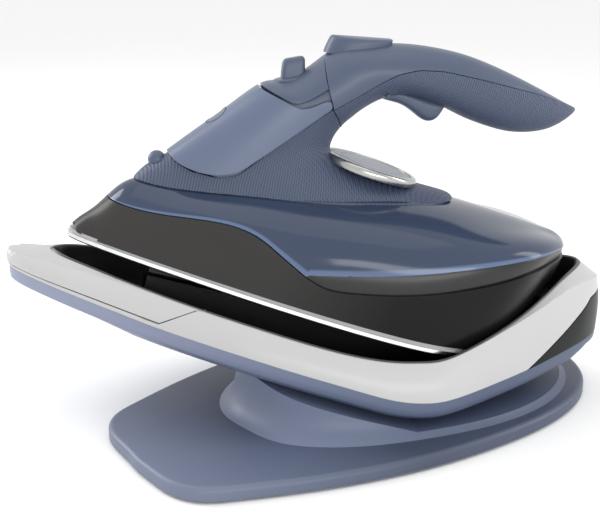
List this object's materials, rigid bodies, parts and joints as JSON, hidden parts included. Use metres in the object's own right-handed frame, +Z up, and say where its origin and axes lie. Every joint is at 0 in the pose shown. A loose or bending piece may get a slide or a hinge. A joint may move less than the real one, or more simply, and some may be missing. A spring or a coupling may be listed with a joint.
{
  "type": "cordless steam iron on a charging dock",
  "caption": "Cordless steam iron parked tip-up in the swivelling tray of its charging dock, with filler door, steam lever, spray button, trigger and dial.",
  "frame": {"origin": "on the tray's swivel axis, at the level of the table the feet rest on", "axes": "+X from the iron's tip to its heel as parked, +Z up"},
  "size_m": [0.321, 0.2057, 0.1964],
  "materials": {
    "dock_blue": "satin moulded plastic",
    "handle_blue": "satin moulded plastic",
    "grip_blue": "finely ribbed soft-touch plastic",
    "tank_blue": "tinted clear plastic",
    "white_gloss": "gloss",
    "white_matte": "matte",
    "black_gloss": "gloss",
    "black_matte": "matte",
    "chrome": "polished",
    "grey_metal": "satin",
    "aluminium": "cast",
    "steel": "plain",
    "brass": "plain",
    "rubber": "matte",
    "board": "solder-masked board"
  },
  "bodies": {
    "base": {"foot_plate": "dock_blue", "ballast_plate": "steel", "bottom_cover": "black_matte", "bottom_screws": "steel", "rubber_feet": "rubber", "pedestal": "dock_blue", "stop_pin": "steel", "spindle": "steel", "swivel_washer": "white_matte", "spindle_clip": "steel", "cord_gland": "rubber"},
    "tray": {"tray_hull": "dock_blue", "bezel": "white_gloss", "front_cover": "white_gloss", "stern_window": "black_gloss", "well_liner": "black_matte", "rest_ribs": "black_matte", "rest_strips": "rubber", "contact_block": "black_matte", "contact_pins": "brass", "tray_board": "board"},
    "iron": {"soleplate": "chrome", "heat_shield": "grey_metal", "heater_casting": "aluminium", "heating_element": "steel", "steam_cover": "aluminium", "thermostat": "brass", "thermal_fuse": "white_matte", "skirt": "black_gloss", "cradle": "black_gloss", "tank": "tank_blue", "shell": "grip_blue", "spray_nozzle": "handle_blue", "filler_gasket": "rubber", "hinge_pin": "steel", "collar": "handle_blue", "handle_cover": "handle_blue", "handle_grip": "grip_blue", "spray_pump": "white_matte", "button_spring": "steel", "trigger_pin": "steel", "trigger_spring": "steel", "trigger_switch": "black_matte", "control_board": "board", "heel_block": "black_matte", "feed_tube": "rubber", "body_screws": "steel"},
    "door": {"filler_door": "handle_blue"},
    "lever": {"steam_lever": "handle_blue"},
    "button": {"spray_button": "handle_blue"},
    "trigger": {"steam_trigger": "grip_blue"},
    "dial": {"dial_ring": "chrome", "dial_disc": "handle_blue", "dial_spindle": "steel"}
  },
  "joints": [
    {"name": "tray_swivel", "type": "hinge", "parent": "base", "child": "tray", "pos_m": [0, 0, 0.012], "axis": [0, 0, 1], "range_deg": [0, 54.4]},
    {"name": "iron_lift", "type": "slide", "parent": "tray", "child": "iron", "axis": [0, 0, 1], "range_m": [0, 0.12]},
    {"name": "door_hinge", "type": "hinge", "parent": "iron", "child": "door", "pos_m": [-0.08123, 0, 0.17126], "axis": [0, 1, 0], "range_deg": [0, 48]},
    {"name": "lever_turn", "type": "hinge", "parent": "iron", "child": "lever", "pos_m": [-0.06594, 0, 0.17489], "axis": [-0.1564, 0, 0.9877], "range_deg": [-30, 30]},
    {"name": "button_press", "type": "slide", "parent": "iron", "child": "button", "axis": [0, 0, -1], "range_m": [0, 0.003], "stiffness_N_per_m": 400, "springref_m": -0.002, "deforming": ["button_spring"]},
    {"name": "trigger_pull", "type": "hinge", "parent": "iron", "child": "trigger", "pos_m": [-0.01673, 0, 0.16692], "axis": [0, -1, 0], "range_deg": [0, 8], "stiffness_Nm_per_rad": 0.3, "springref_deg": -5.73},
    {"name": "dial_turn", "type": "hinge", "parent": "iron", "child": "dial", "pos_m": [-0.02432, 0, 0.12592], "axis": [0.3173, 0, 0.9483], "range_deg": [-135, 135]}
  ]
}
